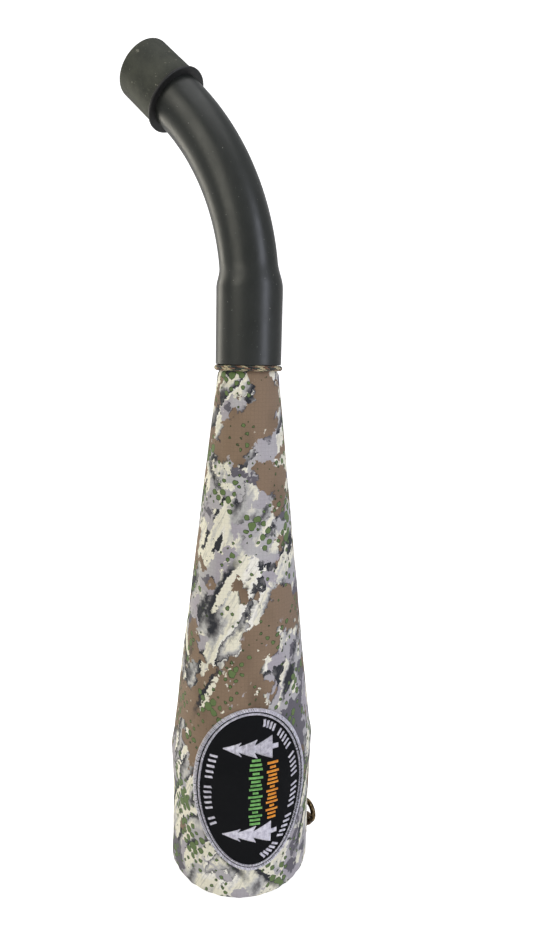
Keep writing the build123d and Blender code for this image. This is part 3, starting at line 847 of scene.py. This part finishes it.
def braid(soup, path, radius, closed=False):
    """A plaited cord along a path: rows of short yarn floats, staggered like bricks and a little
    slanted, whose colours run in drifts."""
    _, first, second = path_frames(path, closed)
    if closed:
        path, first, second = (np.vstack([each, each[:1]]) for each in (path, first, second))
    run = np.append(0, np.cumsum(np.linalg.norm(np.diff(path, axis=0), axis=1)))
    floats = max(2, round(run[-1] / FLOAT_PITCH))
    pitch = run[-1] / floats
    yarn_r = 0.60 * math.pi * radius / FLOAT_ROWS
    t = np.linspace(-1, 1, 7)
    reach = radius * (0.93 - 0.13 * t**2)
    for row in range(FLOAT_ROWS):
        turn = 2 * math.pi * row / FLOAT_ROWS + FLOAT_SLANT * t
        for k in range(floats):
            stations = (k + 0.5 * (row % 2) + 0.60 * t) * pitch
            if closed:
                stations = stations % run[-1]
            elif stations[0] < 0 or stations[-1] > run[-1]:
                stations = np.clip(stations, 0.0002, run[-1])
                stations = np.linspace(stations[0], stations[-1], 7)
            centre, u, v = (
                np.stack([np.interp(stations, run, column) for column in each.T], axis=1)
                for each in (path, first, second)
            )
            spoke = u * np.cos(turn)[:, None] + v * np.sin(turn)[:, None]
            drift = math.sin(1.45 * k + 0.9 * row) + 0.4 * math.sin(0.5 * k - 1.9 * row)
            colour = int(np.searchsorted(YARN_DRIFTS, drift))
            soup.tube(centre + spoke * reach[:, None], yarn_r, 6, colour, 0.55, spoke)
    soup.tube(path[:-1] if closed else path, 0.84 * radius, 12, YARN_CORE, closed=closed)


def smooth_path(points, count):
    """A rounded path through a few control points."""
    points = np.asarray(points, float)
    knots = np.arange(len(points))
    spots = np.linspace(0, len(points) - 1, count)
    line = np.stack([np.interp(spots, knots, points[:, i]) for i in range(3)], axis=1)
    reach = max(3, count // len(points) // 2)
    kernel = np.hanning(2 * reach + 1)
    kernel /= kernel.sum()
    padded = np.pad(line, ((reach, reach), (0, 0)), mode="reflect", reflect_type="odd")
    return np.stack([np.convolve(padded[:, i], kernel, "valid") for i in range(3)], axis=1)


def build_cord():
    """Braided cord round the cover's neck, its knot, its two tails and their melted tips."""
    low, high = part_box("neck_cord")
    cord_r = (high.z - low.z) / 2
    turn = np.linspace(0, 360, 780, endpoint=False)
    sag = 0.0002 * np.sin(2 * np.radians(turn) + 0.6)
    ring = Soup()
    braid(ring, around(turn, high.x - cord_r, (low.z + high.z) / 2 + sag), cord_r, closed=True)
    ring.build("cord_braid", "neck_cord", *YARNS)

    low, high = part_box("cord_knot")
    middle = (low + high) / 2
    reach = (high - low) / 2 - Vector((0.75, 0, 0.75)) * cord_r
    turn = np.linspace(0, 2 * math.pi, 260, endpoint=False)
    x = middle.x + reach.x * (np.sin(turn) + 2 * np.sin(2 * turn)) / 2.7
    y = middle.y - 0.0009 * np.sin(3 * turn)
    z = middle.z + reach.z * (np.cos(turn) - 2 * np.cos(2 * turn)) / 2.9
    knot = Soup()
    braid(knot, np.stack([x, y, z], axis=1), 0.72 * cord_r, closed=True)
    knot.build("cord_knot_tied", "cord_knot", *YARNS)

    low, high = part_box("cord_tails")
    tails = Soup()
    tips = Soup()
    for side in (-1, 1):
        bends = (
            (side * 0.0026, low.y + 1.05 * cord_r, high.z - 0.0004),
            (side * 0.0033, low.y + 1.3 * cord_r, high.z - 0.009),
            (side * 0.0058, high.y - 1.5 * cord_r, high.z - 0.020),
            (side * (high.x - cord_r), high.y - cord_r, low.z + 0.0003),
        )
        path = smooth_path(bends, 250)
        braid(tails, path, cord_r)
        tip = path[-1] + unit(path[-1] - path[-2]) * np.linspace(-0.0006, 0.0040, 9)[:, None]
        bulb = cord_r * np.array([1.0, 1.08, 1.02, 1.06, 1.1, 1.04, 0.95, 0.72, 0.3])
        tips.tube(tip, bulb, 14, 0, 0.94)
    tails.build("cord_tails_braid", "cord_tails", *YARNS)
    tips.build("cord_tips_melted", "cord_tips", MELTED_TIP)


# ---- Hem and seam ----


def build_hem():
    """The turned-in hem round the mouth: a soft roll of cloth, gathered by its elastic."""
    low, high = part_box("rim_hem")
    inner = radii_near("rim_hem", np.zeros(3), UP, low.z, high.z)[0]
    outline = rounded([(low.z, inner), (high.z, inner), (high.z, high.x), (low.z, high.x)], 0.0012, 6)
    turn = np.linspace(-math.pi, math.pi, 360, endpoint=False)
    gather = 0.00013 * np.sin(46 * turn + 1.3 * np.sin(5 * turn)) + 0.00008 * np.sin(71 * turn)
    run = np.append(0, np.cumsum(np.linalg.norm(np.diff(outline, axis=0), axis=1)))
    away = unit(outline - outline.mean(axis=0))[..., None] * gather
    radius = outline[:, 1:] + away[:, 1] - 0.00015
    points = around(np.degrees(turn), radius, outline[:, :1] + away[:, 0])
    uvs = np.stack(np.broadcast_arrays(turn * inner, run[:, None]), axis=-1).reshape(-1, 2) / MM
    faces = grid_faces(len(outline), len(turn), wrap_rows=True)
    make_piece("hem_roll", "rim_hem", points.reshape(-1, 3), faces, [CAMO], uvs)


def build_seam():
    """The lapped seam down the back, dimpled at its stitches, and the stitches themselves."""
    low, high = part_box("back_seam")
    half_w = (high.x - low.x) / 2
    foot = [(-half_w, 0.0001), (half_w, 0.0001), (half_w, 0.0005)]
    outline = rounded([*foot, (0.0001, 0.00062), (-half_w, 0.0009)], 0.0003, 5)
    stitches = islands("seam_stitches")
    row_x = np.mean([abs(s.mean(axis=0)[0]) for s in stitches])
    heights = sorted({round(s.mean(axis=0)[2], 4) for s in stitches})
    pitch = np.mean(np.diff(heights))

    z = np.linspace(low.z, high.z, 460)[:, None]
    puff = 0.5 + 0.5 * np.cos(2 * math.pi * (z - heights[0]) / pitch)
    x, lift = outline.T
    at_row = np.exp(-(((abs(x) - row_x) / 0.0007) ** 2))
    soft = lift * (1 - 0.35 * at_row * puff) + 0.00012 * (1 - at_row) * puff
    points = np.stack(np.broadcast_arrays(-x, np.sqrt(cover_radius(z) ** 2 - x * x) + soft, z), axis=-1)
    uvs = np.stack(np.broadcast_arrays(x / MM + 160.0, z / MM), axis=-1).reshape(-1, 2)
    faces = grid_faces(*points.shape[:2]) + cap_faces(*points.shape[:2])
    weld(make_piece("seam_lap", "back_seam", points.reshape(-1, 3), faces, [CAMO], uvs), 1e-9)

    thread = Soup()
    for stitch in stitches:
        thread.tube(stitch_path(stitch, 0.00035), 0.00030, 7, 0, 0.8, (0, 1, 0))
    thread.build("seam_thread", "seam_stitches", DARK_THREAD)


def islands(node):
    """The separate solids of a CAD node, each as an array of its vertices."""
    points = node_points(node)
    spot = np.unique(np.round(points, 6), axis=0, return_inverse=True)[1].ravel()
    ends = spot[np.array([tuple(edge.vertices) for edge in frame["nodes"][node].data.edges])].T
    label = np.arange(len(spot))
    before = None
    while not np.array_equal(label, before):
        before = label.copy()
        least = label[ends].min(axis=0)
        for end in ends:
            np.minimum.at(label, end, least)
    label = label[spot]
    return [points[label == each] for each in dict.fromkeys(label)]


def stitch_path(solid, bow):
    """Centre line of a thread that stands in for one small bar, arched away from the bell."""
    centre = solid.mean(axis=0)
    axis = np.linalg.svd(solid - centre)[2][0]
    half = np.abs((solid - centre) @ axis).max()
    t = np.linspace(-1, 1, 7)
    return centre + np.outer(t * half, axis) + np.outer(bow * (0.35 - t**4), unit(centre * (1, 1, 0)))


# ---- Patch ----

BACKING_LIFT = 0.0011
BORDER_WIDTH = 0.0018
SATIN_STEP = 0.00012


class Patch:
    """The oval patch: where it lies and how a point of its plane maps on to the cover."""

    def __init__(self):
        points = node_points("patch_border")
        middle = points.mean(axis=0)
        self.turn = math.degrees(math.atan2(middle[0], -middle[1]))
        a = math.radians(self.turn)
        self.across = np.array([math.cos(a), math.sin(a), 0])
        self.out = np.array([math.sin(a), -math.cos(a), 0])
        self.z = (PATCH_LOW.z + PATCH_HIGH.z) / 2
        self.half_h = (PATCH_HIGH.z - PATCH_LOW.z) / 2
        self.half_w = np.abs(points @ self.across).max()
        x, y = self.plane("patch_border").T
        edge = np.hypot(x / self.half_w, y / self.half_h) > 0.98
        x, y = x[edge], y[edge]
        conic = np.linalg.lstsq(np.stack([x * x, x * y, y * y], axis=1), np.ones(len(x)), rcond=None)[0]
        self.tilt = math.atan2(conic[1], conic[0] - conic[2]) / 2

    def place(self, x, y, lift):
        """Points over the cover from plane coordinates and a lift off the cloth."""
        x, y, lift = np.broadcast_arrays(np.asarray(x, float), y, lift)
        z = self.z + y
        angle = self.turn + np.degrees(np.arcsin(np.clip(x / cover_radius(z), -1, 1)))
        r = cover_face(angle, z) + lift
        depth = np.sqrt(np.maximum(r * r - x * x, 0))
        return x[..., None] * self.across + depth[..., None] * self.out + z[..., None] * UP

    def turned(self, x, y, way=1):
        """Plane coordinates turned by the patch's tilt, or turned back."""
        c, s = math.cos(self.tilt), way * math.sin(self.tilt)
        return x * c - y * s, x * s + y * c

    def oval(self, t, inset):
        """Plane point at an angle on the oval drawn smaller by inset."""
        return self.turned((self.half_w - inset) * np.cos(t), (self.half_h - inset) * np.sin(t))

    def ground(self):
        """The black twill ground, quilted a little by its embroidery."""
        rings = 46
        spokes = 240
        points = [self.place(0.0, 0.0, BACKING_LIFT)[None, :]]
        uvs = [np.zeros((1, 2))]
        edge = np.stack(self.oval(np.linspace(0, 2 * math.pi, spokes, endpoint=False), 0.0005))
        rng = np.random.default_rng(5)
        for i in range(1, rings + 1):
            x, y = edge * i / rings
            quilt = 0.00005 * np.sin(900 * x + 3 * np.sin(400 * y)) * np.sin(700 * y)
            points.append(self.place(x, y, BACKING_LIFT + quilt + rng.normal(0, 0.000004, spokes)))
            uvs.append(np.stack([x, y], axis=1))
        faces = [(0, 1 + k, 1 + (k + 1) % spokes) for k in range(spokes)]
        faces += [(a, d, c, b) for a, b, c, d in grid_faces(rings, spokes, first=1)]
        uvs = np.vstack(uvs) / MM
        ground = make_piece("patch_ground", "patch_backing", np.vstack(points), faces, [TWILL], uvs)
        thicken(ground, 0.0008)

    def loops(self, soup, count, insets, lifts, slant, radius):
        """Slanted thread loops side by side round the oval, some pulled tighter than others."""
        rng = np.random.default_rng(count)
        insets = np.array(insets)
        for i in range(count):
            t = 2 * math.pi * (i + rng.uniform(-0.18, 0.18)) / count
            drift = np.linspace(-slant / 2, slant / 2, len(insets))
            drift /= math.hypot(self.half_w * math.sin(t), self.half_h * math.cos(t))
            path = self.place(*self.oval(t + drift, insets), np.array(lifts) + rng.normal(0, 0.00007))
            soup.tube(path, radius * rng.uniform(0.72, 1.0), 6, 0, 0.8)

    def band(self, soup, inset, lift, radius, flat):
        """A smooth dark cord round the oval, under a row of loops."""
        path = self.place(*self.oval(np.linspace(0, 2 * math.pi, 300, endpoint=False), inset), lift)
        soup.tube(path, radius, 10, 1, flat, unit(path * (1, 1, 0)), closed=True)

    def plane(self, node):
        """A CAD node's vertices in the patch's plane, across and up."""
        points = node_points(node)
        return np.stack([points @ self.across, points[:, 2] - self.z], axis=1)

    def fill_upright(self, node, pitch):
        """Upright satin threads over the outline of a CAD node."""
        plane = self.plane(node)
        low, high = plane.min(axis=0), plane.max(axis=0)
        up = np.arange(low[1] - SATIN_STEP, high[1] + 2 * SATIN_STEP, SATIN_STEP)
        columns = np.arange(-high[0] + pitch / 2, -low[0], pitch)
        return self.satin(node, [np.stack([np.full(len(up), -x), up], axis=1) for x in columns])

    def fill_round(self, node, pitch):
        """Satin threads that run along the oval, over the outline of a CAD node."""
        x, y = self.turned(*self.plane(node).T, way=-1)
        depth = 1 - np.hypot(x / self.half_w, y / self.half_h)
        girth = 2 * math.pi * math.hypot(self.half_w, self.half_h) / math.sqrt(2)
        t = np.linspace(0, 2 * math.pi, int(girth / SATIN_STEP))
        insets = np.arange(depth.min() * self.half_w, depth.max() * self.half_h, pitch)
        return self.satin(node, [np.stack(self.oval(t, inset), axis=1) for inset in insets])

    def satin(self, node, lines):
        """Threads over the stretches of some lines where a ray from outside meets the node."""
        soup = Soup()
        tree = node_tree(node)
        for k, line in enumerate(lines):
            height = 0.00046 if k % 2 else 0.00042
            inside = []
            for x, y in line:
                start = self.across * x + self.out * 0.09 + UP * (self.z + y)
                inside.append(tree.ray_cast(Vector(start), Vector(-self.out), 0.08)[0] is not None)
            change = np.diff(np.array(inside, int))
            for first, last in zip(np.where(change == 1)[0] + 1, np.where(change == -1)[0]):
                if last - first < 3:
                    continue
                picks = np.linspace(first, last, max(5, (last - first) // 9))
                x, y = (np.interp(picks, np.arange(len(line)), column) for column in line.T)
                t = np.linspace(-1, 1, len(picks))
                path = self.place(x, y, BACKING_LIFT + height * (1 - t**6) - 0.00005)
                soup.tube(path, 0.00024, 5, 0, 0.75)
        return soup

def build_patch():
    """The patch: ground, merrowed border, inner ring and satin motifs."""
    patch = Patch()
    patch.ground()

    border = Soup()
    patch.band(border, BORDER_WIDTH / 2, 0.00095, 0.00080, 0.75)
    insets = (0.0019, 0.0016, 0.0011, 0.0006, 0.0001, -0.0001, 0.0001)
    lifts = (0.0010, 0.00155, 0.0018, 0.0017, 0.0013, 0.0007, 0.0002)
    patch.loops(border, 340, insets, lifts, 0.0013, 0.00033)
    border.build("patch_border_merrow", "patch_border", PALE_THREAD, DARK_THREAD)

    ring = Soup()
    patch.band(ring, 0.0034, 0.0011, 0.00042, 0.7)
    insets = (0.0028, 0.0030, 0.0034, 0.0038, 0.0040)
    lifts = (0.00105, 0.0015, 0.0017, 0.0015, 0.00105)
    patch.loops(ring, 310, insets, lifts, 0.0010, 0.00030)
    ring.build("patch_ring_satin", "patch_inner_ring", PALE_THREAD, DARK_THREAD)

    motifs = (("trees", PALE_THREAD), ("green_wave", GREEN_THREAD), ("orange_wave", ORANGE_THREAD))
    for motif, thread in motifs:
        node = "patch_" + motif
        patch.fill_upright(node, 0.00042).build(node.replace("_wave", "") + "_satin", node, thread)
    patch.fill_round("patch_dashes", 0.00040).build("patch_dashes_satin", "patch_dashes", PALE_THREAD)


# ---- Tab and ring ----


HINGE = np.array(JOINTS["ring_swing"]["pos_m"])
HINGE_AXIS = np.array(JOINTS["ring_swing"]["axis"])
TAB_OUT = np.cross(HINGE_AXIS, UP) * np.sign(np.cross(HINGE_AXIS, UP) @ HINGE)
TAPE = 0.001


def build_ring():
    """The metal ring, its wire a little uneven at the weld."""
    offsets = node_points("carry_ring") - HINGE
    wire_r = np.abs(offsets @ TAB_OUT).max()
    ring_r = (offsets[:, 2].max() - wire_r) / 2
    turn = np.linspace(0, 2 * math.pi, 160, endpoint=False)
    spoke = np.outer(np.sin(turn), HINGE_AXIS) - np.outer(np.cos(turn), UP)
    weld_mark = 1 + 0.035 * np.exp(-(((turn - 2.1) / 0.07) ** 2)) + 0.006 * np.sin(5 * turn)
    soup = Soup()
    path = HINGE + UP * ring_r + ring_r * spoke
    soup.tube(path, wire_r * 0.985 * weld_mark, 28, 0, 0.97, TAB_OUT, closed=True)
    soup.build("ring_brass", "carry_ring", BRASS)


def build_tab():
    """The folded webbing tab that holds the ring, with its bar tacks."""
    low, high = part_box("ring_tab")
    half_w = np.abs((node_points("ring_tab") - HINGE) @ HINGE_AXIS).max()
    middle_r = high.z - HINGE[2] - TAPE / 2
    foot = low.z - HINGE[2]
    inner_r = middle_r - TAPE
    front = [(-inner_r, foot + 0.0003), (-inner_r, foot * 0.62), (0.9 * TAPE - middle_r, foot * 0.42)]
    arc = np.linspace(math.radians(232), math.radians(-148), 26)[2:-2]
    loop = [(middle_r * math.cos(a) * 0.98, middle_r * math.sin(a)) for a in arc]
    back = [(-middle_r, foot * 0.45), (-middle_r, foot * 0.7), (-middle_r, foot + 0.0003)]
    out, up = np.array(front + loop + back).T
    centre_line = smooth_path(HINGE + np.outer(out, TAB_OUT) + np.outer(up, UP), 110)
    normals = np.cross(unit(np.gradient(centre_line, axis=0)), HINGE_AXIS)

    half_t = TAPE / 2
    across, lift = rounded(
        [(-half_w, -half_t), (half_w, -half_t), (half_w, half_t), (-half_w, half_t)], 0.0003, 5
    ).T
    t = np.linspace(0, 1, len(centre_line))[:, None, None]
    edge = 1 + 0.012 * np.sin(97 * t)
    rib = 0.00005 * np.sin(150 * t)
    width = across[:, None] * edge * HINGE_AXIS
    height = (lift[:, None] + np.sign(lift)[:, None] * rib) * normals[:, None]
    points = centre_line[:, None] + width + height
    shape = points.shape[:2]
    faces = grid_faces(*shape) + cap_faces(*shape)
    make_piece("tab_webbing_loop", "ring_tab", points.reshape(-1, 3), faces, [WEBBING])

    thread = Soup()
    for solid in islands("tab_stitches"):
        thread.tube(stitch_path(solid, 0.0003), 0.00032, 7, 0, 0.8)
    thread.build("tab_thread", "tab_stitches", DARK_THREAD)


build_cover()
build_hem()
build_seam()
build_cord()
build_patch()
build_ring()
build_tab()


# ---- Frame pieces that keep their CAD shape ----


def paint(node, material):
    """Give a CAD node a material in its own slots."""
    piece = frame["nodes"][node]
    if not piece.material_slots:
        piece.data.materials.append(material)
    for each in piece.material_slots:
        each.material = material


paint("bell_tube", moulded_material())
paint("grip_sleeve", SLEEVE_RUBBER)
paint("rim_elastic", elastic_material())
paint("neck_tube", neck_material())
paint("mouth_cuff", CUFF_RUBBER)
# The collar gets the cuff's rubber darkened into painted shade.
paint("cuff_collar", COLLAR_RUBBER_PAINTED_SHADE)


# ---- Studio ----


def stage_floor():
    """A pale floor that curves up into a backdrop."""
    material = Material("studio_paper", 0.9)
    mottle = material.noise(material.place, 3.0, 2, 0.5)
    material.set("Base Color", material.ramp(mottle, [(0.3, 0.90), (0.7, 0.93)]))
    material.set("Emission Color", (1.0, 1.0, 1.0))
    seen = material.nodes.new("ShaderNodeLightPath").outputs["Is Camera Ray"]
    material.set("Emission Strength", material.linear(seen, 0.72, 0.06))
    half_width = 3.0
    front = -2.5
    bend_start = 1.2
    bend = 1.0
    rise = 3.2
    bends = np.linspace(0, math.pi / 2, 14)
    curve = [(bend_start + bend * math.sin(t), bend * (1 - math.cos(t))) for t in bends]
    outline = [(front, 0.0), *curve, (bend_start + bend, rise)]
    points = [(x, y, z) for y, z in outline for x in (-half_width, half_width)]
    mesh = bpy.data.meshes.new("studio_floor")
    mesh.from_pydata(points, [], grid_faces(len(outline), 2, wrap_columns=False))
    mesh.shade_smooth()
    mesh.materials.append(material.material)
    link("studio_floor", mesh)


def area_light(name, location, target, size, power, colour):
    """A soft rectangular lamp that looks at a point."""
    data = bpy.data.lights.new(name, "AREA")
    data.shape = "RECTANGLE"
    data.size, data.size_y = size
    data.energy = power
    data.color = colour
    lamp = link(name, data)
    lamp.location = location
    lamp.rotation_euler = (Vector(target) - Vector(location)).to_track_quat("-Z", "Y").to_euler()


def light_studio():
    """Soft daylight from both sides, warm on the left and cool on the right."""
    world = bpy.data.worlds.new("studio_air")
    world.use_nodes = True
    nodes = world.node_tree.nodes
    nodes["Background"].inputs["Color"].default_value = (0.97, 0.98, 1.0, 1.0)
    seen = nodes.new("ShaderNodeLightPath")
    strength = nodes.new("ShaderNodeMapRange")
    strength.inputs["To Min"].default_value = 0.36
    strength.inputs["To Max"].default_value = 1.12
    world.node_tree.links.new(seen.outputs["Is Camera Ray"], strength.inputs["Value"])
    world.node_tree.links.new(strength.outputs[0], nodes["Background"].inputs["Strength"])
    bpy.context.scene.world = world
    middle = (0, 0, 0.28)
    area_light("key_left", (-1.0, -1.1, 1.1), middle, (0.9, 1.2), 9.0, (1.0, 0.97, 0.84))
    area_light("fill_right", (1.3, -0.8, 0.7), middle, (0.5, 1.4), 10.0, (0.84, 0.87, 1.0))
    area_light("rim_left", (-1.0, 0.55, 0.6), (0, 0, 0.4), (0.4, 1.2), 6, (1.0, 0.95, 0.82))
    area_light("overhead", (0.1, -0.2, 1.9), middle, (1.2, 1.2), 5.0, (1.0, 1.0, 1.0))
    bpy.context.scene.view_settings.view_transform = "Standard"


def place_camera():
    """The camera looks a little down on the call from straight in front, rolled slightly."""
    pitch = math.radians(10.58)
    roll = math.radians(1.34)
    level = Vector((1, 0, 0))
    raised = Vector((0, math.sin(pitch), math.cos(pitch)))
    forward = Vector((0, math.cos(pitch), -math.sin(pitch)))
    right = level * math.cos(roll) + raised * math.sin(roll)
    top = -level * math.sin(roll) + raised * math.cos(roll)
    data = bpy.data.cameras.new("camera")
    data.lens = 25.82
    data.clip_start = 0.02
    camera = link("camera", data)
    pose = Matrix((right, top, -forward)).transposed().to_4x4()
    pose.translation = (0.01364, -0.4543, 0.3767)
    camera.matrix_world = pose
    bpy.context.scene.camera = camera


stage_floor()
light_studio()
place_camera()
